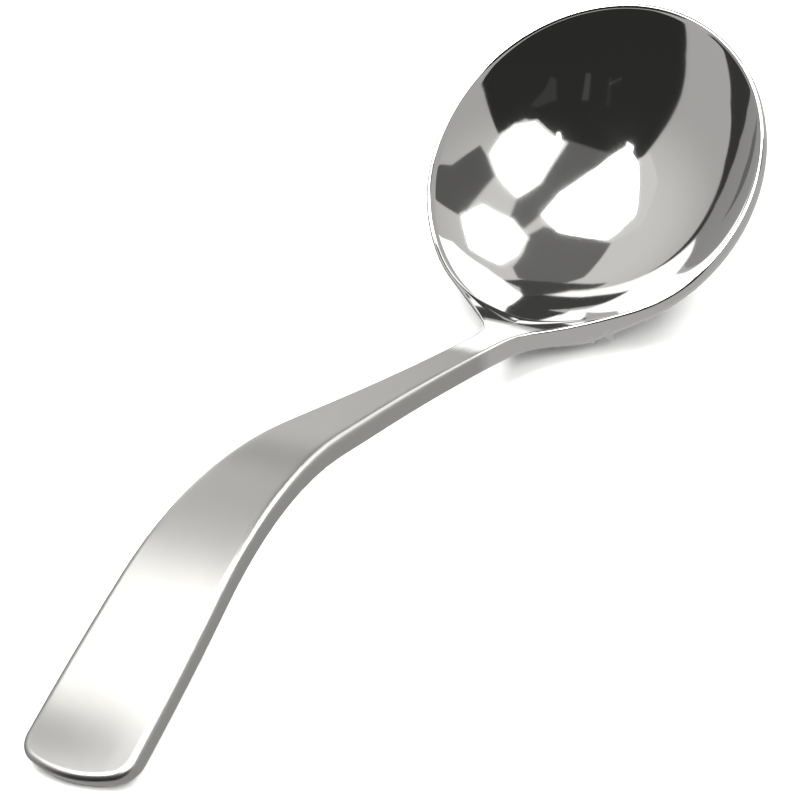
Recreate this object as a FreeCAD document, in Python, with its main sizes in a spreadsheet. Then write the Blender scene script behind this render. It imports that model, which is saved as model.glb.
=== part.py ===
import FreeCAD, Part
import Sketcher
import math
import os

from FreeCAD import Placement, Rotation, Vector

# Sugar ladle, one piece of stainless steel: a round bowl on a flat handle that
# rises from the rim, bends over and comes down to a broad rounded end.
# It is drawn with the rim level and the bowl's axis upright, the handle along +X,
# and then laid down as it comes to rest, on the bowl and the handle's end.
# Lengths are in millimetres and angles in degrees.

SIZES = [
    # bowl
    ("rim_radius", 24.0, "radius of the rim, at the middle of its wall"),
    ("bowl_depth", 14.4, "depth of the hollow below the rim"),
    ("bowl_wall", 1.2, "thickness of the bowl's wall"),
    ("side_radius", 5.0, "radius of the hollow's side, which turns upright at the rim"),
    # shoulders, where the rim runs out to the neck
    ("shoulder_angle", 34.6, "angle from the handle at which a shoulder leaves the rim"),
    ("shoulder_fillet", 5.0, "radius in the corner between shoulder and neck"),
    ("shoulder_depth", 5.0, "depth below the rim at which a shoulder dies out on the bowl"),
    # top line, seen from the side
    ("swoop_inset", 11.1, "how far inside the rim it starts to rise towards the neck"),
    ("swoop_radius", 19.7, "radius of the rim's rise towards the neck"),
    ("rise_angle", 50.7, "slope of the rising part of the handle"),
    ("rise_length", 47.0, "length of the rising part"),
    ("bend_radius", 52.7, "radius of the bend, on the top face"),
    ("end_angle", 13.3, "slope left after the bend"),
    ("end_length", 29.3, "length from the bend to the end"),
    ("handle_thickness", 3.0, "thickness of the handle"),
    ("root_depth", 3.0, "depth below the rim at which the underside meets the bowl"),
    # outline of the handle, seen from above
    ("neck_width", 5.1, "width of the handle at the neck"),
    ("end_width", 16.4, "largest width, near the end"),
    ("hollow_radius", 156.0, "radius of the side where it curves in, beyond the neck"),
    ("end_radius", 16.6, "radius of the end"),
    ("corner_radius", 3.6, "radius of the two corners at the end"),
    # edges
    ("edge_radius", 1.0, "rounding of the handle's edges"),
    ("rim_edge_radius", 0.45, "rounding of the rim's edges"),
]

doc = FreeCAD.newDocument("SugarLadle")
sheet = doc.addObject("Spreadsheet::Sheet", "Sizes")
for row, (alias, value, note) in enumerate(SIZES, start=1):
    sheet.set(f"A{row}", note)
    sheet.set(f"B{row}", str(value))
    sheet.setAlias(f"B{row}", alias)
doc.recompute()


def size(alias):
    """Value of a cell of the sheet."""
    return float(sheet.get(alias))


def sine(alias):
    return math.sin(math.radians(size(alias)))


def cosine(alias):
    return math.cos(math.radians(size(alias)))


def slope(alias):
    return math.tan(math.radians(size(alias)))


UPRIGHT = Rotation(Vector(1, 0, 0), 90)   # turns a sketch's plane to XZ
REACH = 60.0                              # how far cutting shapes stand clear of the piece
ORIGIN = (-1, 1)                          # a sketch's own origin, as constraints name it


def new_sketch(name, turn=Rotation()):
    sketch = doc.addObject("Sketcher::SketchObject", name)
    sketch.Placement = Placement(Vector(), turn)
    return sketch


def line(sketch, start, end):
    return sketch.addGeometry(Part.LineSegment(Vector(*start, 0), Vector(*end, 0)), False)


def arc(sketch, centre, radius, start, end):
    """Arc counter-clockwise from one angle to the other, in degrees."""
    circle = Part.Circle(Vector(*centre, 0), Vector(0, 0, 1), radius)
    return sketch.addGeometry(Part.ArcOfCircle(circle, math.radians(start), math.radians(end)), False)


def tie(sketch, kind, *args):
    return sketch.addConstraint(Sketcher.Constraint(kind, *args))


def drive(sketch, kind, *args, by):
    """Dimension whose value follows an expression of the sheet's cells."""
    index = sketch.addConstraint(Sketcher.Constraint(kind, *args))
    sketch.setExpression(f"Constraints[{index}]", by)
    return index


def check(item):
    doc.recompute()
    if "Invalid" in item.State or "Error" in item.State:
        raise RuntimeError(f"{item.Label} failed: {item.State}")
    return item


# The hollow's side turns upright at the rim, and its round bottom is the one circle about
# the axis that touches both the side and the hollow's depth.
side_x = size("rim_radius") - size("bowl_wall") / 2 - size("side_radius")
bottom_radius = ((side_x ** 2 + size("bowl_depth") ** 2 - size("side_radius") ** 2)
                 / 2 / (size("bowl_depth") - size("side_radius")))
bottom_z = bottom_radius - size("bowl_depth")
shoulder_reach = size("rim_radius") + size("bowl_wall") / 2

# The same places as expressions of the sheet's cells, and those of the straight rise and
# the bend on the top line
SIDE_X = "Sizes.rim_radius - Sizes.bowl_wall / 2 - Sizes.side_radius"
SHOULDER_REACH = "Sizes.rim_radius + Sizes.bowl_wall / 2"
SHOULDER_DROP = "sqrt((Sizes.side_radius + Sizes.bowl_wall) ^ 2 - Sizes.shoulder_depth ^ 2)"
SHOULDER_X = f"({SIDE_X} + {SHOULDER_DROP}) * cos(Sizes.shoulder_angle)"
SWOOP_X = "Sizes.rim_radius - Sizes.swoop_inset"
RISE_X = f"{SWOOP_X} + Sizes.swoop_radius * sin(Sizes.rise_angle)"
RISE_Z = "Sizes.swoop_radius * (1 - cos(Sizes.rise_angle))"
BEND_X = (f"{RISE_X} + Sizes.rise_length * cos(Sizes.rise_angle)"
          " + Sizes.bend_radius * sin(Sizes.rise_angle)")
BEND_Z = (f"{RISE_Z} + Sizes.rise_length * sin(Sizes.rise_angle)"
          " - Sizes.bend_radius * cos(Sizes.rise_angle)")
END_X = (f"{BEND_X} - Sizes.bend_radius * sin(Sizes.end_angle)"
         " + Sizes.end_length * cos(Sizes.end_angle)")


def bowl_section(name, outside, turn=UPRIGHT):
    """Half section of the bowl, closed along its axis: its outside, or the hollow's own
    line. From the rim up the wall stands upright."""
    sketch = new_sketch(name, turn)
    grow = size("bowl_wall") if outside else 0.0
    wall = " + Sizes.bowl_wall" if outside else ""
    touch = math.degrees(math.atan2(-bottom_z, side_x))
    reach = side_x + size("side_radius") + grow
    low = arc(sketch, (0, bottom_z), bottom_radius + grow, -90, touch)
    up = arc(sketch, (side_x, 0), size("side_radius") + grow, touch, 0)
    upright = line(sketch, (reach, 0), (reach, REACH))
    lid = line(sketch, (reach, REACH), (0, REACH))
    axis = line(sketch, (0, REACH), (0, -size("bowl_depth") - grow))
    tie(sketch, "PointOnObject", low, 3, -2)
    tie(sketch, "PointOnObject", low, 1, -2)
    tie(sketch, "Tangent", low, 2, up, 1)
    tie(sketch, "PointOnObject", up, 3, -1)
    tie(sketch, "PointOnObject", up, 2, -1)
    tie(sketch, "Coincident", up, 2, upright, 1)
    tie(sketch, "Vertical", upright)
    tie(sketch, "Coincident", upright, 2, lid, 1)
    tie(sketch, "Horizontal", lid)
    tie(sketch, "Coincident", lid, 2, axis, 1)
    tie(sketch, "Coincident", axis, 2, low, 1)
    tie(sketch, "PointOnObject", axis, 1, -2)
    tie(sketch, "DistanceY", *ORIGIN, lid, 1, REACH)
    drive(sketch, "DistanceX", *ORIGIN, up, 3, side_x, by=SIDE_X)
    drive(sketch, "Radius", up, size("side_radius") + grow, by="Sizes.side_radius" + wall)
    drive(sketch, "DistanceY", low, 1, *ORIGIN, size("bowl_depth") + grow,
          by="Sizes.bowl_depth" + wall)
    return check(sketch)


swoop_x = size("rim_radius") - size("swoop_inset")
rise_x = swoop_x + size("swoop_radius") * sine("rise_angle")
rise_z = size("swoop_radius") * (1 - cosine("rise_angle"))
bend_x = rise_x + size("rise_length") * cosine("rise_angle") + size("bend_radius") * sine("rise_angle")
bend_z = rise_z + size("rise_length") * sine("rise_angle") - size("bend_radius") * cosine("rise_angle")
end_x = bend_x - size("bend_radius") * sine("end_angle") + size("end_length") * cosine("end_angle")


def side_line(name, depth, minus, start, first):
    """Region above a side line of the handle that lies a given depth below the top face
    and runs up the rise from start, over the bend and along the end. What comes before
    the rise is drawn and tied by first(sketch, climb, bend, lid, start)."""
    sketch = new_sketch(name, UPRIGHT)
    radius = size("bend_radius") - depth
    bend_start = (bend_x - radius * sine("rise_angle"), bend_z + radius * cosine("rise_angle"))
    bend_end = (bend_x - radius * sine("end_angle"), bend_z + radius * cosine("end_angle"))
    far_x = end_x + REACH / 2
    finish = (far_x, bend_end[1] + (far_x - bend_end[0]) * slope("end_angle"))
    climb = line(sketch, start, bend_start)
    bend = arc(sketch, (bend_x, bend_z), radius, 90 + size("end_angle"), 90 + size("rise_angle"))
    run = line(sketch, bend_end, finish)
    back = line(sketch, finish, (far_x, 2 * REACH))
    lid = line(sketch, (far_x, 2 * REACH), (-REACH, 2 * REACH))
    tie(sketch, "Tangent", climb, 2, bend, 2)
    tie(sketch, "Tangent", bend, 1, run, 1)
    tie(sketch, "Coincident", run, 2, back, 1)
    tie(sketch, "Vertical", back)
    tie(sketch, "Coincident", back, 2, lid, 1)
    tie(sketch, "Horizontal", lid)
    drive(sketch, "Radius", bend, radius, by=f"Sizes.bend_radius{minus}")
    drive(sketch, "Angle", climb, math.radians(size("rise_angle")), by="Sizes.rise_angle * 1 deg")
    drive(sketch, "Angle", run, math.radians(size("end_angle")), by="Sizes.end_angle * 1 deg")
    drive(sketch, "DistanceX", *ORIGIN, back, 1, far_x, by=f"{END_X} + {REACH / 2}")
    tie(sketch, "DistanceY", *ORIGIN, lid, 1, 2 * REACH)
    tie(sketch, "DistanceX", lid, 2, *ORIGIN, REACH)
    first(sketch, climb, bend, lid, start)
    return check(sketch)


def swoop_and_rim(sketch, climb, bend, lid, start):
    """The level rim, and the rise that leads from it to the handle."""
    rim = line(sketch, (-REACH, 0), (swoop_x, 0))
    swoop = arc(sketch, (swoop_x, size("swoop_radius")), size("swoop_radius"),
                -90, size("rise_angle") - 90)
    close = line(sketch, (-REACH, 2 * REACH), (-REACH, 0))
    tie(sketch, "PointOnObject", rim, 1, -1)
    tie(sketch, "PointOnObject", rim, 2, -1)
    tie(sketch, "Tangent", rim, 2, swoop, 1)
    tie(sketch, "Tangent", swoop, 2, climb, 1)
    tie(sketch, "Coincident", lid, 2, close, 1)
    tie(sketch, "Coincident", close, 2, rim, 1)
    tie(sketch, "Vertical", close)
    drive(sketch, "DistanceX", *ORIGIN, swoop, 3, swoop_x, by=SWOOP_X)
    drive(sketch, "Radius", swoop, size("swoop_radius"), by="Sizes.swoop_radius")
    drive(sketch, "Distance", climb, size("rise_length"), by="Sizes.rise_length")


def shoulder_floor():
    """Where a shoulder dies out on the bowl's outside, seen from the side."""
    side = size("side_radius") + size("bowl_wall")
    across = side_x + math.sqrt(side ** 2 - size("shoulder_depth") ** 2)
    return across * cosine("shoulder_angle"), -size("shoulder_depth")


def down_the_shoulders(sketch, climb, bend, lid, start):
    """The underside of the rise, and below it the shoulders' lower edge, which runs in
    under the bowl until it is inside the bowl's wall everywhere."""
    low = shoulder_floor()
    slant = line(sketch, low, start)
    floor = line(sketch, (-REACH, low[1]), low)
    close = line(sketch, (-REACH, 2 * REACH), (-REACH, low[1]))
    tie(sketch, "Coincident", lid, 2, close, 1)
    tie(sketch, "Vertical", close)
    tie(sketch, "Coincident", close, 2, floor, 1)
    tie(sketch, "Horizontal", floor)
    tie(sketch, "Coincident", floor, 2, slant, 1)
    tie(sketch, "Coincident", slant, 2, climb, 1)
    drive(sketch, "DistanceX", *ORIGIN, slant, 1, low[0], by=SHOULDER_X)
    drive(sketch, "DistanceY", slant, 1, *ORIGIN, size("shoulder_depth"), by="Sizes.shoulder_depth")
    drive(sketch, "DistanceY", climb, 1, *ORIGIN, size("root_depth"), by="Sizes.root_depth")
    drive(sketch, "DistanceX", *ORIGIN, bend, 3, bend_x, by=BEND_X)
    drive(sketch, "DistanceY", *ORIGIN, bend, 3, bend_z, by=BEND_Z)


def half_outline(name):
    """Half of the handle from above, closed along its middle: the corner on the shoulder,
    a side that curves in and then out, and a broad end with a rounded corner."""
    sketch = new_sketch(name)
    half_neck, half_end = size("neck_width") / 2, size("end_width") / 2
    fillet, hollow = size("shoulder_fillet"), size("hollow_radius")
    corner, end = size("corner_radius"), size("end_radius")
    # the fillet touches the shoulder, which is a line square to the shoulder's angle
    neck_y = half_neck + fillet
    neck_x = (shoulder_reach + fillet - neck_y * sine("shoulder_angle")) / cosine("shoulder_angle")
    corner_y = half_end - corner
    corner_x = end_x - end + math.sqrt((end - corner) ** 2 - corner_y ** 2)
    corner_turn = math.degrees(math.atan2(corner_y, corner_x - end_x + end))
    # the two curves of the side touch where they have used up the difference in width
    both = ((corner_x - neck_x) ** 2 + (half_end - half_neck) ** 2) / (2 * (half_end - half_neck))
    swell = both - hollow
    side_turn = math.degrees(math.asin((corner_x - neck_x) / both))
    foot = size("shoulder_angle") - 180
    foot_x = neck_x + fillet * math.cos(math.radians(foot))
    foot_y = neck_y + fillet * math.sin(math.radians(foot))
    middle = line(sketch, (foot_x, 0), (end_x, 0))
    tip = arc(sketch, (end_x - end, 0), end, 0, corner_turn)
    bend = arc(sketch, (corner_x, corner_y), corner, corner_turn, 90)
    outward = arc(sketch, (corner_x, half_end - swell), swell, 90, 90 + side_turn)
    inward = arc(sketch, (neck_x, half_neck + hollow), hollow, -90, -90 + side_turn)
    root = arc(sketch, (neck_x, neck_y), fillet, foot, -90)
    close = line(sketch, (foot_x, foot_y), (foot_x, 0))
    leave = (shoulder_reach * cosine("shoulder_angle"), shoulder_reach * sine("shoulder_angle"))
    shoulder = line(sketch, leave, (foot_x, foot_y))
    radius = line(sketch, (0, 0), leave)
    for guide in (shoulder, radius):
        sketch.setConstruction(guide, True)
    tie(sketch, "PointOnObject", middle, 1, -1)
    tie(sketch, "PointOnObject", middle, 2, -1)
    tie(sketch, "Coincident", middle, 2, tip, 1)
    tie(sketch, "PointOnObject", tip, 3, -1)
    tie(sketch, "Tangent", tip, 2, bend, 1)
    tie(sketch, "Tangent", bend, 2, outward, 1)
    tie(sketch, "Vertical", bend, 2, bend, 3)
    tie(sketch, "Tangent", outward, 2, inward, 2)
    tie(sketch, "Tangent", inward, 1, root, 2)
    tie(sketch, "Vertical", root, 2, root, 3)
    tie(sketch, "Tangent", root, 1, shoulder, 2)
    tie(sketch, "Coincident", root, 1, close, 1)
    tie(sketch, "Coincident", close, 2, middle, 1)
    tie(sketch, "Vertical", close)
    tie(sketch, "Coincident", radius, 1, *ORIGIN)
    tie(sketch, "Coincident", radius, 2, shoulder, 1)
    tie(sketch, "Perpendicular", radius, shoulder)
    drive(sketch, "Angle", radius, math.radians(size("shoulder_angle")), by="Sizes.shoulder_angle * 1 deg")
    drive(sketch, "Distance", radius, shoulder_reach, by=SHOULDER_REACH)
    drive(sketch, "Radius", root, fillet, by="Sizes.shoulder_fillet")
    drive(sketch, "Radius", inward, hollow, by="Sizes.hollow_radius")
    drive(sketch, "Radius", bend, corner, by="Sizes.corner_radius")
    drive(sketch, "Radius", tip, end, by="Sizes.end_radius")
    drive(sketch, "DistanceY", *ORIGIN, root, 2, half_neck, by="Sizes.neck_width / 2")
    drive(sketch, "DistanceY", *ORIGIN, bend, 2, half_end, by="Sizes.end_width / 2")
    drive(sketch, "DistanceX", *ORIGIN, tip, 1, end_x, by=END_X)
    return check(sketch)


def feature(kind, name, **values):
    item = doc.addObject(kind, name)
    for key, value in values.items():
        setattr(item, key, value)
    return check(item)


# Bowl, from the outside, and its two shoulders: the wall's outside carried straight on
# from each shoulder's place until the two meet under the neck.
bowl = feature("Part::Revolution", "BowlForm", Source=bowl_section("BowlOutside", 1),
               Axis=Vector(0, 0, 1), Angle=360, Solid=True)
walls = []
for name, side in (("LeftShoulder", 1), ("RightShoulder", -1)):
    turn = Rotation(Vector(0, 0, 1), side * size("shoulder_angle"))
    section = bowl_section(name + "Section", 1, turn * UPRIGHT)
    walls.append(feature("Part::Extrusion", name, Base=section, DirMode="Custom",
                         Dir=turn.multVec(Vector(0, -side, 0)), LengthFwd=REACH, Solid=True))
shoulders = feature("Part::MultiCommon", "Shoulders", Shapes=walls)

# Handle: its outline from above, kept only over the line of its underside.
outline = feature("Part::Extrusion", "OutlineHalf", Base=half_outline("Outline"), DirMode="Normal",
                  LengthFwd=2 * REACH, LengthRev=REACH, Solid=True)
other_half = feature("Part::Mirroring", "OutlineOtherHalf", Source=outline, Base=Vector(),
                     Normal=Vector(0, 1, 0))
blank = feature("Part::MultiFuse", "HandleBlank", Shapes=[outline, other_half], Refine=True)
under_z = rise_z - size("handle_thickness") * cosine("rise_angle")
under_x = rise_x + size("handle_thickness") * sine("rise_angle")
under_start = (under_x - (under_z + size("root_depth")) / slope("rise_angle"), -size("root_depth"))
under_line = side_line("UnderLine", size("handle_thickness"), " - Sizes.handle_thickness", under_start,
                       down_the_shoulders)
over_under = feature("Part::Extrusion", "AboveUnderside", Base=under_line, DirMode="Normal",
                     LengthFwd=2 * REACH, Symmetric=True, Solid=True)
raised = feature("Part::MultiFuse", "HandleAndShoulders", Shapes=[blank, shoulders])
handle = feature("Part::MultiCommon", "Handle", Shapes=[raised, over_under])

# All in one, hollowed out and cut along the top line.
form = feature("Part::MultiFuse", "Form", Shapes=[bowl, handle], Refine=True)
hollow = feature("Part::Revolution", "Hollow", Source=bowl_section("BowlInside", 0),
                 Axis=Vector(0, 0, 1), Angle=360, Solid=True)
shell = feature("Part::Cut", "Shell", Base=form, Tool=hollow, Refine=True)
top_line = side_line("TopLine", 0, "", (rise_x, rise_z), swoop_and_rim)
above = feature("Part::Extrusion", "AboveTop", Base=top_line, DirMode="Normal",
                LengthFwd=2 * REACH, Symmetric=True, Solid=True)
trimmed = feature("Part::Cut", "Trimmed", Base=shell, Tool=above, Refine=True)


def height(x, depth=0.0):
    """Height of the handle's line at x, for the top face or a depth below it."""
    radius = size("bend_radius") - depth
    bend_start, bend_end = bend_x - radius * sine("rise_angle"), bend_x - radius * sine("end_angle")
    if x > bend_end:
        return bend_z + radius * cosine("end_angle") + (x - bend_end) * slope("end_angle")
    if x > bend_start:
        return bend_z + math.sqrt(radius ** 2 - (x - bend_x) ** 2)
    if x > rise_x or depth:
        return bend_z + radius * cosine("rise_angle") - (bend_start - x) * slope("rise_angle")
    if x > swoop_x:
        return size("swoop_radius") - math.sqrt(size("swoop_radius") ** 2 - (x - swoop_x) ** 2)
    return 0.0


def rounding(x):
    """Radius of the top edges at x: the rim's, growing to the handle's between the
    shoulders and the bend."""
    start = shoulder_reach * cosine("shoulder_angle")
    full = bend_x - size("bend_radius") * sine("rise_angle")
    share = min(max((x - start) / (full - start), 0.0), 1.0)
    return size("rim_edge_radius") + (size("edge_radius") - size("rim_edge_radius")) * share


# Rounded edges: both edges of the rim, the handle's top edges and its underside's.
CLOSE = 0.01          # how near an edge must run to a line to count as lying on it
underside_start = rise_x + size("handle_thickness") * sine("rise_angle")
rounds = []
for index, edge in enumerate(trimmed.Shape.Edges, start=1):
    if edge.BoundBox.XLength < CLOSE:
        continue
    first, last = edge.valueAt(edge.FirstParameter), edge.valueAt(edge.LastParameter)
    middle = edge.valueAt((edge.FirstParameter + edge.LastParameter) / 2)
    if abs(middle.z - height(middle.x)) < CLOSE:
        if math.hypot(middle.x, middle.y) < size("rim_radius"):
            rounds.append((index, size("rim_edge_radius"), size("rim_edge_radius")))
        else:
            rounds.append((index, rounding(first.x), rounding(last.x)))
    elif middle.x > underside_start and abs(middle.z - height(middle.x, size("handle_thickness"))) < CLOSE:
        rounds.append((index, size("edge_radius"), size("edge_radius")))
ladle = feature("Part::Fillet", "SugarLadle", Base=trimmed, Edges=rounds)
ladle.Label = "sugar_ladle"

# At rest: turned about Y until the bowl's round bottom and the end's lower edge are
# both on the table, with the origin on the table under the middle of its length.
tip = size("edge_radius")
tip_x = end_x - tip
tip_z = height(tip_x, size("handle_thickness")) + tip / cosine("end_angle")


def lean_on(x, z, radius):
    """Slope of the line that runs under a circle of the bowl's outside and the end."""
    apart = math.hypot(tip_x - x, tip_z - z)
    return math.atan2(tip_z - z, tip_x - x) + math.asin((radius - tip) / apart)


rest_x, rest_z, rest_radius = 0.0, bottom_z, bottom_radius + size("bowl_wall")
lean = lean_on(rest_x, rest_z, rest_radius)
if lean > math.atan2(side_x, bottom_z):
    rest_x, rest_z, rest_radius = side_x, 0.0, size("side_radius") + size("bowl_wall")
    lean = lean_on(rest_x, rest_z, rest_radius)
laid = Rotation(Vector(0, 1, 0), math.degrees(lean))
ladle.Placement = Placement(Vector(), laid)
doc.recompute()
box = ladle.Shape.optimalBoundingBox(False, False)
lift = rest_radius + rest_x * math.sin(lean) - rest_z * math.cos(lean)
ladle.Placement = Placement(Vector(-box.Center.x, 0, lift), laid)
doc.recompute()

for item in doc.Objects:
    if "Invalid" in item.State or "Error" in item.State:
        raise RuntimeError(f"{item.Label} failed: {item.State}")
if ladle.Shape.isNull() or not ladle.Shape.isValid():
    raise RuntimeError("the ladle has no valid shape")
os.makedirs("parts", exist_ok=True)
ladle.Shape.exportStep(f"parts/{ladle.Label}.step")
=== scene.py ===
import math

import bmesh
import bpy
import numpy as np
from mathutils import Matrix, Vector


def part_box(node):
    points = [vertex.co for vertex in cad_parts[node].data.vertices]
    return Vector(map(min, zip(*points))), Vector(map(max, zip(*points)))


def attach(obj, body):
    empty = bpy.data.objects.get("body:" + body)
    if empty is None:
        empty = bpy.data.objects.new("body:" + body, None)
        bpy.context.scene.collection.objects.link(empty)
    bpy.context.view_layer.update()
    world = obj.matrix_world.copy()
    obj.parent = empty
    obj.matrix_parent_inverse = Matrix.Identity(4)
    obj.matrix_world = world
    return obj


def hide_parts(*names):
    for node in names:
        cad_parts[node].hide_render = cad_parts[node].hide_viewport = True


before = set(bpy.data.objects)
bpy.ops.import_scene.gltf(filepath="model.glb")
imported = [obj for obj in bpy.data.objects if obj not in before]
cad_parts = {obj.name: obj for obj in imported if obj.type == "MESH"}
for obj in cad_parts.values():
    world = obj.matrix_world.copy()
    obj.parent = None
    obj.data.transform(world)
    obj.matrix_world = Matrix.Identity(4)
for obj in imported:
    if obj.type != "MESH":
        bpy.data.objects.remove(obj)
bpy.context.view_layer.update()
mm = 0.001

# The ladle's driving sizes, in millimetres and degrees, in the frame of its rim:
# the rim level, the bowl's axis upright, the handle along +X.
ladleForm = {
    "rimRadius": 24.48,       # outside of the wall, as buffed
    "hollowRadius": 23.4,     # inside of the wall, as pressed
    "hollowDepth": 14.4,
    "sideRadius": 5.0,        # the bowl's side, which turns upright at the rim
    "polishedSide": 2.0,      # the hollow as buffed: its side, and its radius at the rim
    "polishedRadius": 23.85,
    "wall": 1.2,
    "shoulderAngle": 34.6,    # where a shoulder leaves the rim
    "shoulderCorner": 5.0,    # radius where a shoulder turns into the neck
    "shoulderDrop": 5.0,      # how far below the rim the underside starts, between the shoulders
    "swoopStart": 12.9,       # where the top line begins to turn up, and its radius
    "swoopRadius": 19.7,
    "riseAngle": 50.7,        # the slope up from the rim, and its straight length
    "riseLength": 47.0,
    "bendRadius": 52.7,       # of the top face, where the handle bends over
    "endAngle": 13.3,         # the slope beyond the bend, and its straight length
    "endLength": 29.14,
    "thickness": 3.0,         # of the handle
    "rootDrop": 3.0,          # the underside meets the bowl this far below the rim
    "neckWidth": 5.1,
    "endWidth": 16.4,
    "sideCurve": 156.0,       # the sides curve in beyond the neck
    "endRadius": 16.6,        # the tip, and the corners beside it
    "cornerRadius": 3.6,
    "handleEdge": 1.0,        # rounding of the handle's edges
    "rimEdge": 0.34,          # rounding of the rim's edges
    "lipGrowth": 0.45,        # how much of the land's extra width the neck's lip takes
    "lipFade": 0.1,           # in radians, how softly the lip is widest on the middle line
    "junction": 1.6,          # softness of the corner under the neck
    "junctionFade": 0.25,     # in radians, where that softness fades out beside the shoulders
    "outsideSlope": 20.0,     # how steeply the bowl's outside is carried on past the rim
    "underEdgeStart": 26.0,   # along X, where the underside's rounding begins and how far it grows
    "underEdgeRun": 6.0,
    "hollowMargin": 0.3,      # sections whose spine is nearer the axis than this end in the hollow
    "endFan": 11.0,           # the end's sections fan out from this far inside the tip
    "seamGap": 0.004,         # points nearer than this are one, at the poles and seams
}

# How finely the surface is divided: points along each stretch of the outline, rows across
# each stretch of a section, and where the rows that keep an edge crisp lie.
ladleGrid = {
    "rim": 180,
    "shoulder": 22,
    "shoulderCorner": 20,
    "side": 76,
    "swell": 22,
    "corner": 14,
    "tip": 12,
    "hollow": 44,
    "upright": 4,
    "lip": 11,
    "land": 8,
    "topEdge": 9,
    "wall": 5,
    "underEdge": 8,
    "underside": 36,
    "crisp": (0.0, 0.012, 0.988, 1.0),
    "lipRounds": 12,          # rounds of stepping towards where the lip begins and ends
    "slopeStep": 0.01,        # in mm, to either side of a point for its slope
    "leastEase": 0.001,       # softness left at the very edge of the shoulders
    "tiny": 1e-6,             # keeps a division from zero and a comparison from rounding
}


def steps(start, stop, count):
    # Even steps from start up to stop, which is left to the next stretch
    return np.linspace(start, stop, count, endpoint=False)


def ladleLines(f):
    # Top line and underside of the handle as functions of x:
    # level, an arc of the swoop's radius, a slope, the bend's arc, a second slope.
    rise, end = math.radians(f["riseAngle"]), math.radians(f["endAngle"])
    riseX = f["swoopStart"] + f["swoopRadius"] * math.sin(rise)
    riseZ = f["swoopRadius"] * (1 - math.cos(rise))
    bendX = riseX + f["riseLength"] * math.cos(rise) + f["bendRadius"] * math.sin(rise)
    bendZ = riseZ + f["riseLength"] * math.sin(rise) - f["bendRadius"] * math.cos(rise)
    endX = bendX - f["bendRadius"] * math.sin(end) + f["endLength"] * math.cos(end)

    def beyond(x, radius):
        # past the swoop, for the top face or, at a smaller radius, the underside
        firstX, lastX = bendX - radius * math.sin(rise), bendX - radius * math.sin(end)
        slope = bendZ + radius * math.cos(rise) + (x - firstX) * math.tan(rise)
        bend = bendZ + np.sqrt(np.maximum(radius ** 2 - (x - bendX) ** 2, 0))
        run = bendZ + radius * math.cos(end) + (x - lastX) * math.tan(end)
        return np.where(x < firstX, slope, np.where(x < lastX, bend, run))

    def top(x):
        inside = np.clip(x - f["swoopStart"], 0, f["swoopRadius"] * math.sin(rise))
        swoop = f["swoopRadius"] - np.sqrt(f["swoopRadius"] ** 2 - inside ** 2)
        return np.where(x < riseX, swoop, beyond(x, f["bendRadius"]))

    side = f["sideRadius"] + f["wall"]
    sideX = f["hollowRadius"] - f["sideRadius"]
    floorR = sideX + math.sqrt(side ** 2 - f["shoulderDrop"] ** 2)
    floorX = floorR * math.cos(math.radians(f["shoulderAngle"]))
    underRadius = f["bendRadius"] - f["thickness"]
    rootX = bendX - underRadius * math.sin(rise)
    rootX -= (bendZ + underRadius * math.cos(rise) + f["rootDrop"]) / math.tan(rise)

    def under(x):
        # a slight slant under the bowl's neck, and from the root on parallel to the top face
        slant = (f["shoulderDrop"] - f["rootDrop"]) / (rootX - floorX)
        low = -f["rootDrop"] - np.clip(rootX - x, 0, rootX - floorX) * slant
        return np.where(x < rootX, low, beyond(x, underRadius))

    return top, under, endX, rise


def bowlCurve(f, radius, side, grow):
    # Hollow (grow 0) or outside (grow = wall) as depth over the distance r from the axis:
    # a low arc about the axis, touching a side arc that turns upright at the rim.
    sideX = radius - side
    low = (sideX ** 2 + f["hollowDepth"] ** 2 - side ** 2) / 2 / (f["hollowDepth"] - side)
    lowZ = low - f["hollowDepth"]
    touch = math.atan2(-lowZ, sideX)
    low, side = low + grow, side + grow
    touchR = low * math.cos(touch)

    def depth(r):
        bottom = lowZ - np.sqrt(np.maximum(low ** 2 - np.minimum(r, low) ** 2, 0))
        wall = -np.sqrt(np.maximum(side ** 2 - (np.clip(r, sideX, sideX + side) - sideX) ** 2, 0))
        return np.where(r < touchR, bottom, wall)

    return depth, sideX, side, lowZ, low


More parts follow.
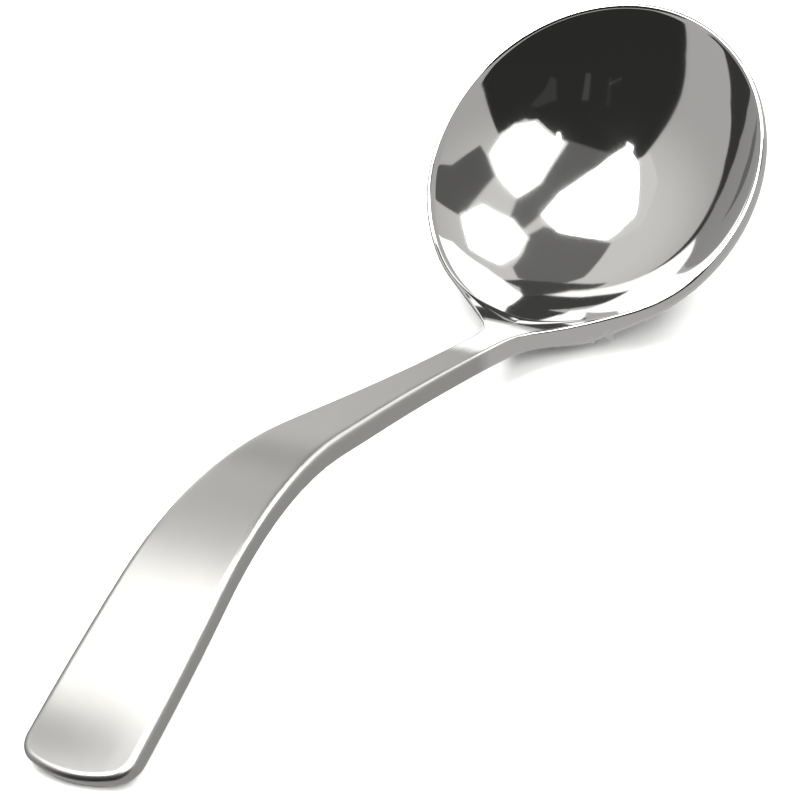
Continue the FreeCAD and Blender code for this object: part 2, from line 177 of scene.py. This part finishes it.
def halfOutline(f, g, endX):
    # Half the outline from above, from the back of the rim to the tip: the rim's arc, a
    # straight shoulder on its tangent, the shoulder's corner, the side's long arc, the
    # end's swell, its corner and its tip, all tangent. Gives points, inward normals and
    # where each section's spine point lies on the middle line: where the normal meets it.
    a = math.radians(f["shoulderAngle"])
    halfNeck, halfEnd = f["neckWidth"] / 2, f["endWidth"] / 2
    neckY = halfNeck + f["shoulderCorner"]
    neckX = (f["rimRadius"] + f["shoulderCorner"] - neckY * math.sin(a)) / math.cos(a)
    cornerY = halfEnd - f["cornerRadius"]
    tipX = endX - f["endRadius"]
    cornerX = tipX + math.sqrt((f["endRadius"] - f["cornerRadius"]) ** 2 - cornerY ** 2)
    cornerTurn = math.atan2(cornerY, cornerX - tipX)
    both = ((cornerX - neckX) ** 2 + (halfEnd - halfNeck) ** 2) / (2 * (halfEnd - halfNeck))
    swell = both - f["sideCurve"]
    sideTurn = math.asin((cornerX - neckX) / both)

    def arcPiece(x, y, radius, angles, inward):
        # an arc's points, with normals towards its centre (-1) or away from it (1)
        out = np.stack([np.cos(angles), np.sin(angles)], -1)
        return np.array([x, y]) + radius * out, inward * out

    quarter = math.pi / 2
    foot = np.array([neckX, neckY]) - f["shoulderCorner"] * np.array([math.cos(a), math.sin(a)])
    leave = f["rimRadius"] * np.array([math.cos(a), math.sin(a)])
    share = steps(0, 1, g["shoulder"])[:, None]
    shoulderInward = np.repeat(-leave[None] / f["rimRadius"], g["shoulder"], 0)
    sideAngles = steps(-quarter, sideTurn - quarter, g["side"])
    pieces = [
        arcPiece(0, 0, f["rimRadius"], steps(math.pi, a, g["rim"]), -1),
        (leave + share * (foot - leave), shoulderInward),
        arcPiece(neckX, neckY, f["shoulderCorner"], steps(a - math.pi, -quarter, g["shoulderCorner"]), 1),
        arcPiece(neckX, halfNeck + f["sideCurve"], f["sideCurve"], sideAngles, 1),
        arcPiece(cornerX, halfEnd - swell, swell, steps(quarter + sideTurn, quarter, g["swell"]), -1),
        arcPiece(cornerX, cornerY, f["cornerRadius"], steps(quarter, cornerTurn, g["corner"]), -1),
        arcPiece(tipX, 0, f["endRadius"], np.linspace(cornerTurn, 0, g["tip"]), -1),
    ]
    points = np.concatenate([piece[0] for piece in pieces])
    normals = np.concatenate([piece[1] for piece in pieces])
    reach = np.maximum(-normals[:, 1], g["tiny"])
    spineX = points[:, 0] + normals[:, 0] * points[:, 1] / reach
    fanX = endX - f["endFan"]
    past = points[:, 0] > cornerX - g["tiny"]
    spineX = np.where(past, fanX, np.clip(spineX, 0, fanX))
    spineX[:g["rim"] + 1] = 0
    return points, normals, spineX


def softLow(a, b, size):
    # The lower of two heights, with the corner between them rounded
    share = np.clip(0.5 + 0.5 * (b - a) / size, 0, 1)
    return b * (1 - share) + a * share - size * share * (1 - share)


def ladleSurface(f, g):
    # One closed surface: for each point of the outline a section runs over the hollow or
    # the top face from its spine point out to it, round the edge, down the wall and back
    # under to the spine point. r is the distance from the bowl's axis; the neck's lip is
    # a quarter circle from the upright wall to the top line, wider towards the middle.
    top, under, endX, rise = ladleLines(f)
    hollow, sideX, side, _, _ = bowlCurve(f, f["polishedRadius"], f["polishedSide"], 0)
    outside, _, outerSide, _, _ = bowlCurve(f, f["hollowRadius"], f["sideRadius"], f["wall"])
    points, normals, spineX = halfOutline(f, g, endX)
    a = math.radians(f["shoulderAngle"])
    rim, inward = points[:, None, :], normals[:, None, :]
    spine = np.stack([spineX, np.zeros(len(points))], -1)[:, None, :]
    edgeX = points[:, 0]

    # edge roundings, in plan and in height: they grow from the rim's to the handle's
    bendStart = endX - f["endLength"] * math.cos(math.radians(f["endAngle"]))
    bendStart -= f["bendRadius"] * (math.sin(rise) - math.sin(math.radians(f["endAngle"])))
    start = f["rimRadius"] * math.cos(a)
    grown = np.clip((edgeX - start) / (bendStart - start), 0, 1)
    edge = f["rimEdge"] + (f["handleEdge"] - f["rimEdge"]) * grown
    slope = (top(edgeX + g["slopeStep"]) - top(edgeX - g["slopeStep"])) / (2 * g["slopeStep"])
    tilt = np.sqrt(1 + (slope * np.abs(normals[:, 1])) ** 2)
    drop = edge * tilt
    lower = np.clip((edgeX - f["underEdgeStart"]) / f["underEdgeRun"], 0, 1)
    lower = f["handleEdge"] * lower ** 2 * (3 - 2 * lower)
    rimPart = np.hypot(points[:, 0], points[:, 1]) < f["rimRadius"] + g["tiny"]

    # top land, lip, wall and hollow, along the straight line from the land's start to the spine
    landStart = rim + inward * edge[:, None, None]
    run = spine - landStart
    length = np.maximum(np.linalg.norm(run, axis=-1, keepdims=True), g["tiny"])
    way = run / length
    along = np.sum(landStart * way, -1)[:, 0]
    aside = np.sum(landStart ** 2, -1)[:, 0] - along ** 2

    def reachR(radius):
        # distance from the land's start along the section at which r has this value
        inside = np.sqrt(np.maximum(radius ** 2 - aside, 0))
        return np.clip(-along - inside, 0, length[:, 0, 0])

    def lipAt(xy):
        # the lip's size in this direction, the top line's height, and where the lip meets
        # the upright wall: its height and its distance from the axis
        angle = np.sqrt(np.arctan2(xy[..., 1], xy[..., 0]) ** 2 + f["lipFade"] ** 2)
        land = f["rimRadius"] / np.cos(np.clip(a - angle, 0, None)) - f["rimRadius"]
        size = f["rimEdge"] + f["lipGrowth"] * land
        height = top(xy[..., 0])
        startZ = np.minimum(height - size, 0)
        wallR = sideX + np.sqrt(side ** 2 - startZ ** 2)
        return size, height, startZ, wallR

    def plan(distance):
        return landStart[:, 0, :] + way[:, 0, :] * distance[:, None]

    wallAt = reachR(f["polishedRadius"])
    lipStartAt = wallAt
    for _ in range(g["lipRounds"]):
        wallR = lipAt(plan(wallAt))[3]
        wallAt = reachR(wallR)
        size = lipAt(plan(lipStartAt))[0]
        lipStartAt = reachR(wallR + size)
    inBowl = spineX < f["polishedRadius"] - f["hollowMargin"]
    wallAt = np.where(inBowl, wallAt, length[:, 0, 0])
    lipStartAt = np.minimum(lipStartAt, wallAt)

    def lipSink(xy):
        # how far the rounded lip lies under the top face
        size, _, _, wallR = lipAt(xy)
        inside = np.clip(wallR + size - np.hypot(xy[..., 0], xy[..., 1]), 0, size)
        return size - np.sqrt(size ** 2 - inside ** 2)

    def land(share):
        # the flat top face, on the top line's height
        distance = lipStartAt[:, None] * share[None]
        xy = landStart + way * distance[..., None]
        return xy, top(xy[..., 0]) - lipSink(xy)

    def lip(share):
        # from the top face round to the upright wall, closer together where it turns down
        eased = np.sin(share * math.pi / 2)[None]
        distance = lipStartAt[:, None] + (wallAt - lipStartAt)[:, None] * eased
        xy = landStart + way * distance[..., None]
        return xy, top(xy[..., 0]) - lipSink(xy)

    def upright(share):
        # straight down from the lip's end to the rim's level, where the hollow begins
        xy = landStart + way * wallAt[:, None, None]
        xy = np.repeat(xy, len(share), 1)
        size, height, startZ, _ = lipAt(xy)
        edgeZ = height - lipSink(xy)
        low = np.where(inBowl[:, None], np.minimum(startZ, edgeZ), edgeZ)
        return xy, edgeZ + (low - edgeZ) * share[None]

    def bowlInside(share):
        # the hollow's depth over r, or past the bowl the top face
        distance = wallAt[:, None] + (length[:, 0, 0] - wallAt)[:, None] * share[None] ** 2
        xy = landStart + way * distance[..., None]
        r = np.hypot(xy[..., 0], xy[..., 1])
        depth = hollow(np.minimum(r, f["polishedRadius"]))
        firstZ = np.minimum(lipAt(landStart + way * wallAt[:, None, None])[2], 0)
        return xy, np.where(inBowl[:, None], np.minimum(depth, firstZ), top(xy[..., 0]) - lipSink(xy))

    def topEdge(share):
        # a quarter turn from the wall up to the top face
        turn = share[None] * math.pi / 2
        xy = rim + inward * (edge[:, None] * (1 - np.cos(turn)))[..., None]
        return xy, top(xy[..., 0]) - drop[:, None] * (1 - np.sin(turn))

    def shoulderUnder(xy):
        # underneath, the lower of the bowl's outside and the handle's underside; between the
        # shoulders the outside is carried straight on, by the distance across the shoulder
        r = np.hypot(xy[..., 0], xy[..., 1])
        across = xy[..., 0] * math.cos(a) + np.abs(xy[..., 1]) * math.sin(a)
        bowl = outside(np.minimum(r, f["rimRadius"]))
        bowl = bowl + f["outsideSlope"] * np.maximum(r - f["rimRadius"], 0)
        sides = outside(np.minimum(across, f["rimRadius"]))
        low = under(xy[..., 0])
        floor = np.where(across > f["rimRadius"], low, np.maximum(sides, low))
        inWedge = a - np.abs(np.arctan2(xy[..., 1], xy[..., 0]))
        ease = np.clip(inWedge / f["junctionFade"], g["leastEase"], 1)
        return np.where(inWedge > 0, softLow(bowl, floor, f["junction"] * ease), bowl)

    # the outer wall's top and foot, and how far inside its foot the underside begins
    wallTop = top(edgeX) - drop
    foot = np.minimum(0, wallTop)
    wallLow = np.where(rimPart, foot, np.maximum(under(edgeX) + lower * tilt, foot))
    inset = outerSide - np.sqrt(np.maximum(outerSide ** 2 - np.minimum(wallTop, 0) ** 2, 0))
    inset = np.where(lower > 0, lower, inset)

    def wall(share):
        # upright, from the top edge's end down to the foot
        xy = np.repeat(rim, len(share), 1)
        return xy, wallTop[:, None] + (wallLow - wallTop)[:, None] * share[None]

    def underEdge(share):
        # a quarter turn from the wall's foot to the underside
        turn = share[None] * math.pi / 2
        xy = rim + inward * (lower[:, None] * (1 - np.cos(turn)))[..., None]
        rounded = under(xy[..., 0]) + (wallLow - under(edgeX))[:, None] * (1 - np.sin(turn))
        return xy, np.where(lower[:, None] > 0, rounded, wallLow[:, None])

    def underside(share):
        # from there in to the spine point, closer together near the edge
        first = rim + inward * inset[:, None, None]
        xy = first + (spine - first) * share[None, :, None] ** 2
        z = shoulderUnder(xy)
        unrounded = (share[None] == 0) & (lower[:, None] == 0)
        return xy, np.where(unrounded, np.minimum(z, wallLow[:, None]), z)

    def shares(name, crisp=()):
        return np.unique(np.concatenate([crisp, np.linspace(0, 1, g[name])]))

    rows = [
        bowlInside(shares("hollow")[::-1]),
        upright(shares("upright")[::-1][1:]),
        lip(shares("lip")[::-1][1:]),
        land(shares("land", g["crisp"])[::-1][1:]),
        topEdge(shares("topEdge")[::-1][1:]),
        wall(shares("wall", g["crisp"])[1:]),
        underEdge(shares("underEdge")[1:]),
        underside(shares("underside")),
    ]
    xy = np.concatenate([row[0] for row in rows], 1)
    z = np.concatenate([row[1] for row in rows], 1)
    half = np.concatenate([xy, z[..., None]], -1)
    other = half[::-1] * np.array([1, -1, 1])
    return np.concatenate([half, other[1:-1]]), endX


def restTurn(f, endX):
    # Lean at which the round bottom and the end's lower edge are both on the table
    _, under, _, _ = ladleLines(f)
    _, sideX, side, lowZ, low = bowlCurve(f, f["hollowRadius"], f["sideRadius"], f["wall"])
    tipX = endX - f["handleEdge"]
    tipZ = float(under(np.array(tipX))) + f["handleEdge"] / math.cos(math.radians(f["endAngle"]))

    def lean(x, z, radius):
        apart = math.hypot(tipX - x, tipZ - z)
        return math.atan2(tipZ - z, tipX - x) + math.asin((radius - f["handleEdge"]) / apart)

    turn = lean(0, lowZ, low)
    return lean(sideX, 0, side) if turn > math.atan2(sideX, lowZ) else turn


def gridMesh(name, grid):
    # Four-sided faces between neighbouring points, closed in the first direction; both ends
    # of the second meet on the middle line
    rows, columns, _ = grid.shape
    index = np.arange(rows * columns).reshape(rows, columns)
    ahead = np.roll(index, -1, 0)
    quads = np.stack([index[:, :-1], ahead[:, :-1], ahead[:, 1:], index[:, 1:]], -1).reshape(-1, 4)
    mesh = bpy.data.meshes.new(name)
    mesh.vertices.add(rows * columns)
    mesh.vertices.foreach_set("co", grid.reshape(-1))
    mesh.loops.add(quads.size)
    mesh.loops.foreach_set("vertex_index", quads.reshape(-1))
    mesh.polygons.add(len(quads))
    mesh.polygons.foreach_set("loop_start", np.arange(len(quads)) * 4)
    mesh.update(calc_edges=True)
    return mesh


def makeLadle(f, g):
    # The surface, turned about Y from the rim's frame to the ladle's rest, lifted until the
    # bowl's lowest point is on the table, and moved onto the middle of its CAD box
    grid, endX = ladleSurface(f, g)
    lean = restTurn(f, endX)
    _, sideX, side, lowZ, low = bowlCurve(f, f["hollowRadius"], f["sideRadius"], f["wall"])
    onSide = lean > math.atan2(sideX, lowZ)
    lift = side + sideX * math.sin(lean) if onSide else low - lowZ * math.cos(lean)
    x = grid[..., 0] * math.cos(lean) + grid[..., 2] * math.sin(lean)
    z = grid[..., 2] * math.cos(lean) - grid[..., 0] * math.sin(lean) + lift
    lowest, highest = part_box("sugar_ladle")
    x += (lowest.x + highest.x) / 2 / mm - (x.min() + x.max()) / 2
    mesh = gridMesh("ladle", np.stack([x, grid[..., 1], z], -1) * mm)
    seams = bmesh.new()
    seams.from_mesh(mesh)
    bmesh.ops.remove_doubles(seams, verts=seams.verts, dist=f["seamGap"] * mm)
    bmesh.ops.dissolve_degenerate(seams, edges=seams.edges, dist=f["seamGap"] * mm / 4)
    bmesh.ops.recalc_face_normals(seams, faces=seams.faces)
    seams.to_mesh(mesh)
    openEdges = sum(len(edge.link_faces) != 2 for edge in seams.edges)
    print("ladle:", len(seams.faces), "faces,", openEdges, "open edges,",
          round(seams.calc_volume() / mm ** 3), "mm3, leaning", round(math.degrees(lean), 2))
    seams.free()
    mesh.shade_smooth()
    ladle = bpy.data.objects.new("ladle", mesh)
    bpy.context.scene.collection.objects.link(ladle)
    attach(ladle, "root")
    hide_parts("sugar_ladle")
    ladle.visible_glossy = False    # the bowl mirrors the room and not its own far wall
    return ladle


ladle = makeLadle(ladleForm, ladleGrid)


def linear(hexColour):
    # sRGB hex to linear: ((c + 0.055) / 1.055) ^ 2.4 above 0.04045, c / 12.92 below
    parts = [int(hexColour[i:i + 2], 16) / 255 for i in (0, 2, 4)]
    return (*[((c + 0.055) / 1.055) ** 2.4 if c > 0.04045 else c / 12.92 for c in parts], 1.0)


def addNode(tree, kind, settings=None, links=None, values=None):
    # One node: its settings by name, its sockets' values and what feeds them
    node = tree.nodes.new(kind)
    for name, value in (settings or {}).items():
        setattr(node, name, value)
    for socket, value in (values or {}).items():
        node.inputs[socket].default_value = value
    for socket, source in (links or {}).items():
        tree.links.new(source, node.inputs[socket])
    return node


def newMaterial(name):
    material = bpy.data.materials.new(name)
    material.use_nodes = True
    material.node_tree.nodes.clear()
    return material, material.node_tree


# Stainless steel 18/10, pressed and then polished. The bowl and neck are buffed to a mirror
# that shows the room's lights with clean edges; the handle is satin brushed along its
# length, which spreads the same lights into soft bands.
steelFinish = {
    "bright": "D2D1CE",       # buffed steel
    "shadedSatin": "AFAEAB",         # satin steel's colour, with painted shade: darker because its scratches shade one another
    "mirrorRoughness": 0.06,
    "mirrorClear": 0.02,      # how much clearer and how much duller the buffing leaves it in places
    "mirrorDull": 0.03,
    "satinRoughness": 0.33,
    "satinSpread": 0.05,
    "neckStart": -0.0215,     # where the satin begins and is complete, along X at rest, in metres
    "neckEnd": -0.0165,
    "strayLength": 2.2,       # the boundary's streaks: how far they stray and their size, in mm
    "strayRun": 9.0,
    "strayWidth": 0.7,
    "brushWidth": 0.09,       # brush lines, coarser than the real 0.02 mm so that they show, in mm
    "brushLength": 9.0,
    "brushDepth": 0.0021,     # in mm
    "brushStrength": 0.5,
    "brushRange": (0.25, 0.75),    # the noise's own range, spread over the roughness
    "buffWidth": 14.0,        # slow unevenness left by buffing, in mm
    "buffRange": (0.3, 0.7),
}


def makeSteel(f):
    material, tree = newMaterial("polishedAndSatinSteel")
    place = addNode(tree, "ShaderNodeTexCoord").outputs["Object"]
    parts = addNode(tree, "ShaderNodeSeparateXYZ", links={0: place})
    # brushing and the boundary's streaks run along the handle: long in X, fine across
    brushAlong, brushAcross = 1 / f["brushLength"] / mm, 1 / f["brushWidth"] / mm
    strayAlong, strayAcross = 1 / f["strayRun"] / mm, 1 / f["strayWidth"] / mm
    fine = addNode(tree, "ShaderNodeMapping", links={"Vector": place},
                   values={"Scale": (brushAlong, brushAcross, brushAlong)})
    brush = addNode(tree, "ShaderNodeTexNoise", links={"Vector": fine.outputs[0]},
                    values={"Scale": 1.0, "Detail": 4.0, "Roughness": 0.6}).outputs[0]
    stray = addNode(tree, "ShaderNodeMapping", links={"Vector": place},
                    values={"Scale": (strayAlong, strayAcross, strayAlong)})
    streaks = addNode(tree, "ShaderNodeTexNoise", links={"Vector": stray.outputs[0]},
                      values={"Scale": 1.0, "Detail": 3.0}).outputs[0]
    shifted = addNode(tree, "ShaderNodeMath", {"operation": "MULTIPLY_ADD"},
                      {0: streaks, 2: parts.outputs["X"]}, {1: f["strayLength"] * mm}).outputs[0]
    satin = addNode(tree, "ShaderNodeMapRange", {"interpolation_type": "SMOOTHSTEP"}, {"Value": shifted},
                    {"From Min": f["neckStart"], "From Max": f["neckEnd"]}).outputs[0]
    buff = addNode(tree, "ShaderNodeTexNoise", links={"Vector": place},
                   values={"Scale": 1 / f["buffWidth"] / mm, "Detail": 3.0, "Roughness": 0.55}).outputs[0]
    satinRough = addNode(tree, "ShaderNodeMapRange", links={"Value": brush},
                         values={"From Min": f["brushRange"][0], "From Max": f["brushRange"][1],
                                 "To Min": f["satinRoughness"] - f["satinSpread"],
                                 "To Max": f["satinRoughness"] + f["satinSpread"]}).outputs[0]
    mirrorRough = addNode(tree, "ShaderNodeMapRange", links={"Value": buff},
                          values={"From Min": f["buffRange"][0], "From Max": f["buffRange"][1],
                                  "To Min": f["mirrorRoughness"] - f["mirrorClear"],
                                  "To Max": f["mirrorRoughness"] + f["mirrorDull"]}).outputs[0]
    rough = addNode(tree, "ShaderNodeMix",
                    links={"Factor": satin, "A": mirrorRough, "B": satinRough}).outputs[0]
    # the satin part takes the darker colour, which is painted shade from its scratches
    colour = addNode(tree, "ShaderNodeMix", {"data_type": "RGBA"}, {0: satin},
                     {6: linear(f["bright"]), 7: linear(f["shadedSatin"])}).outputs[2]
    lines = addNode(tree, "ShaderNodeMath", {"operation": "MULTIPLY"}, {0: brush, 1: satin}).outputs[0]
    relief = addNode(tree, "ShaderNodeBump", links={"Height": lines},
                     values={"Strength": f["brushStrength"], "Distance": f["brushDepth"] * mm}).outputs[0]
    metal = addNode(tree, "ShaderNodeBsdfPrincipled",
                    links={"Base Color": colour, "Roughness": rough, "Normal": relief},
                    values={"Metallic": 1.0})
    addNode(tree, "ShaderNodeOutputMaterial", links={"Surface": metal.outputs[0]})
    return material


ladle.data.materials.append(makeSteel(steelFinish))
print("steel: mirror bowl and neck, satin handle")


# Seamless paper under the ladle: pale and matt, with a faint grain (size in m, grain in mm)
floorSheet = {
    "size": 6.0,
    "colour": "F4F4F2",
    "roughness": 0.8,
    "grain": 1.2,
    "grainDepth": 0.02,
    "grainStrength": 0.05,
}


def makeFloor(f):
    half = f["size"] / 2
    mesh = bpy.data.meshes.new("floor")
    corners = [(-half, -half, 0), (half, -half, 0), (half, half, 0), (-half, half, 0)]
    mesh.from_pydata(corners, [], [(0, 1, 2, 3)])
    floor = bpy.data.objects.new("floor", mesh)
    bpy.context.scene.collection.objects.link(floor)
    material, tree = newMaterial("paperSweep")
    place = addNode(tree, "ShaderNodeTexCoord").outputs["Object"]
    grain = addNode(tree, "ShaderNodeTexNoise", links={"Vector": place},
                    values={"Scale": 1 / f["grain"] / mm, "Detail": 2.0}).outputs[0]
    relief = addNode(tree, "ShaderNodeBump", links={"Height": grain},
                     values={"Strength": f["grainStrength"], "Distance": f["grainDepth"] * mm}).outputs[0]
    paper = addNode(tree, "ShaderNodeBsdfPrincipled", links={"Normal": relief},
                    values={"Base Color": linear(f["colour"]), "Roughness": f["roughness"]})
    addNode(tree, "ShaderNodeOutputMaterial", links={"Surface": paper.outputs[0]})
    mesh.materials.append(material)
    floor.visible_glossy = False    # the steel mirrors the room, which is darker than the paper


makeFloor(floorSheet)

# How the cards stand: their distance in metres, how much of it one step back adds, and the
# border round a softbox's cloth, as a share of its size.
cardStand = {"distance": 1.6, "stepBack": 0.1, "borderWidth": 1.12, "borderLight": 1.0, "borderBack": 0.5}

# Cards round the table, as the bowl mirrors them: how bright each is, how many steps back it
# stands behind the others, and its corners as (azimuth, elevation) in degrees seen from the
# ladle, azimuth as for the camera. A card with "from" is near one place on the ladle, which
# is given in mm, at its own distance in metres.
studioCards = {
    "frontSoftbox": {"light": 9.0, "border": True, "corners": [
        (178, 45), (173, 33), (161, 28), (150, 25), (137, 26), (128, 36), (120, 40), (132, 50),
        (150, 59), (179, 59)]},
    "overheadSoftbox": {"light": 9.0, "corners": [
        (-30, 82), (-8, 68), (20, 57), (58, 42), (72, 37), (82, 46), (100, 60), (130, 69), (180, 75),
        (-120, 84)]},
    "backSoftbox": {"light": 9.0, "border": True, "corners": [
        (-152, 47), (-150, 62), (-125, 68), (-105, 58), (-100, 46), (-112, 38), (-135, 38)]},
    "kickerCard": {"light": 2.2, "corners": [
        (-113, 30), (-98, 38), (-88, 38), (-76, 33), (-73, 15), (-68, 0), (-72, 0), (-84, 9), (-96, 16),
        (-112, 20)]},
    "lowSheet": {"light": 1.6, "corners": [
        (-22, 16), (-30, 26), (-40, 34), (-50, 39), (-60, 41), (-67, 38), (-58, 35), (-50, 32),
        (-43, 25), (-58, 19), (-52, 6), (-56, -20), (-46, -20), (-41, 0), (-38, 9), (-30, 12)]},
    "neckTopBlack": {"light": 0.09, "corners": [
        (-88, 38), (-84, 45), (-72, 49), (-58, 48), (-44, 41), (-50, 40), (-60, 42), (-70, 37),
        (-76, 32), (-80, 38)]},
    "neckSideBlack": {"light": 0.07, "corners": [
        (-76, 32), (-70, 37), (-62, 36), (-52, 33), (-43, 26), (-45, 21), (-58, 23), (-65, 21),
        (-57, 15), (-57, 5), (-60, 0), (-56, -20), (-63, -20), (-68, -1), (-73, 15)]},
    "rightBlack": {"light": 0.05, "corners": [
        (-36, 31), (-20, 21), (-10, 14), (0, 4), (6, -12), (4, -24), (0, -40), (-24, -40), (-24, -25),
        (-14, -18), (-8, -8), (-8, 2), (-12, 10), (-21, 17)]},
    "greyFlag": {"light": 0.17, "corners": [
        (-27, 1), (-22, -8), (-24, -16), (-31, -22), (-28, -8)]},
    "greyCard": {"light": 0.36, "back": 1, "corners": [
        (-30, 17), (-18, 16), (-8, 6), (-6, -8), (-12, -22), (-22, -40), (-48, -40), (-44, -10),
        (-38, 4)]},
    "backScreen": {"light": 0.14, "back": 1, "corners": [
        (-184, 43), (-135, 38), (-134, 22), (-148, 14), (-160, 24), (-184, 26)]},
    "sideScreen": {"light": 0.2, "back": 1, "corners": [
        (-130, 70), (-105, 62), (-95, 50), (-86, 45), (-62, 49), (-52, 52), (-40, 59), (-13, 65),
        (-15, 76), (-40, 86), (-120, 86), (-150, 78)]},
    "beam": {"light": 0.17, "back": 1, "corners": [
        (76, 43), (98, 56), (120, 66), (150, 73), (-170, 74), (-140, 68), (-150, 61), (-178, 60),
        (150, 58), (130, 49), (118, 38)]},
    "glowCard": {"light": 0.9, "back": 1, "corners": [
        (-12, 66), (6, 54), (35, 41), (54, 34), (62, 42), (20, 60)]},
    "neckCard": {"light": 1.6, "back": -1, "corners": [
        (-64, 4), (-58, 4), (-57, 10), (-56, 20), (-60, 20), (-63, 11)]},
    "wideWand": {"light": 0.085, "corners": [
        (101, 0), (103, 16), (107, 16), (104, 0)]},
    "narrowWand": {"light": 0.05, "corners": [
        (89, 2), (90, 18), (92, 18), (91, 2)]},
    "cornerWand": {"light": 0.06, "corners": [
        (121, 3), (122, 15), (134, 18), (138, 16), (128, 8), (124, 1)]},
    "frontProng": {"light": 5.0, "corners": [
        (122, 34), (121, 42), (126, 44), (124, 34)]},
    "overheadProng": {"light": 5.0, "corners": [
        (67, 36), (66, 41), (71, 40), (73, 35)]},
    "tipFlag": {"light": 0.4, "from": (76, 2, 2.5), "distance": 0.03, "corners": [
        (-15, 41), (8, 41), (32, 75), (-38, 75)]},
    "backdropBlack": {"light": 0.033, "back": 2, "corners": [
        (60, 42), (100, 44), (126, 42), (132, 28), (142, 22), (161, 25), (162, 0), (168, -30),
        (150, -60), (90, -70), (20, -60), (30, -38), (41, -20), (46, 0), (53, 22)]},
}


def toward(azimuth, elevation):
    # Direction from the ladle: azimuth 0 is -Y and 90 is +X, elevation is up from the table
    azimuth, elevation = math.radians(azimuth), math.radians(elevation)
    flat = math.cos(elevation)
    return Vector((math.sin(azimuth) * flat, -math.cos(azimuth) * flat, math.sin(elevation)))


def makeCard(name, f, stand):
    # A flat card square to the mean of its corners' directions, with its corners on those
    # directions as seen from one point
    ways = [toward(*corner) for corner in f["corners"]]
    middle = sum(ways, Vector()).normalized()
    distance = f.get("distance", stand["distance"] * (1 + stand["stepBack"] * f.get("back", 0)))
    seenFrom = Vector(f.get("from", (0, 0, 0))) * mm
    mesh = bpy.data.meshes.new(name)
    mesh.from_pydata([seenFrom + way * distance / way.dot(middle) for way in ways], [], [range(len(ways))])
    card = bpy.data.objects.new(name, mesh)
    bpy.context.scene.collection.objects.link(card)
    material, tree = newMaterial(name)
    glow = addNode(tree, "ShaderNodeEmission", values={"Strength": f["light"]})
    addNode(tree, "ShaderNodeOutputMaterial", links={"Surface": glow.outputs[0]})
    mesh.materials.append(material)
    card.visible_camera = False
    card.visible_shadow = False


def makeBorder(name, f, stand):
    # The softbox's own outline, grown from the mean of its corners, a little behind it
    corners = np.array(f["corners"], float)
    middle = corners.mean(0)
    grown = middle + stand["borderWidth"] * (corners - middle)
    border = {"light": stand["borderLight"], "back": stand["borderBack"], "corners": grown.tolist()}
    makeCard(name + "Border", border, stand)


for name, card in studioCards.items():
    makeCard(name, card, cardStand)
    if card.get("border"):
        makeBorder(name, card, cardStand)


# The room round the table, as a world: bright above and a softer grey low down, with the
# heights between which the one turns into the other
room = {"high": 0.85, "low": 0.56, "lowHeight": 0.1, "highHeight": 0.8}


def makeRoom(f):
    world = bpy.data.worlds.new("room")
    bpy.context.scene.world = world
    world.use_nodes = True
    tree = world.node_tree
    tree.nodes.clear()
    way = addNode(tree, "ShaderNodeTexCoord").outputs["Generated"]
    height = addNode(tree, "ShaderNodeSeparateXYZ", links={0: way}).outputs["Z"]
    light = addNode(tree, "ShaderNodeMapRange", {"interpolation_type": "SMOOTHSTEP"}, {"Value": height},
                    {"From Min": f["lowHeight"], "From Max": f["highHeight"],
                     "To Min": f["low"], "To Max": f["high"]}).outputs[0]
    sky = addNode(tree, "ShaderNodeBackground", links={"Color": light})
    addNode(tree, "ShaderNodeOutputWorld", links={"Surface": sky.outputs[0]})


makeRoom(room)

# The photograph's view, from the handle's end and a little above, in millimetres and degrees
cameraView = {
    "aim": (3.043, 4.519, 15.0),
    "azimuth": 124.511,
    "elevation": 29.864,
    "distance": 766.38,
    "roll": 6.80,
    "lens": 270.0,
    "clipStart": 0.01,        # in metres
    "clipEnd": 20.0,
}


def makeCamera(f):
    # Eye = aim + distance * direction of (azimuth, elevation), looking back at the aim, then
    # turned about its own axis by the roll
    back = toward(f["azimuth"], f["elevation"])
    data = bpy.data.cameras.new("camera")
    data.lens = f["lens"]
    data.clip_start = f["clipStart"]
    data.clip_end = f["clipEnd"]
    camera = bpy.data.objects.new("camera", data)
    turn = (-back).to_track_quat("-Z", "Y").to_matrix() @ Matrix.Rotation(math.radians(-f["roll"]), 3, "Z")
    camera.matrix_world = Matrix.Translation((Vector(f["aim"]) + back * f["distance"]) * mm) @ turn.to_4x4()
    bpy.context.scene.collection.objects.link(camera)
    bpy.context.scene.camera = camera


makeCamera(cameraView)
bpy.context.scene.view_settings.view_transform = "Standard"
print("studio: floor, cards, room and camera")
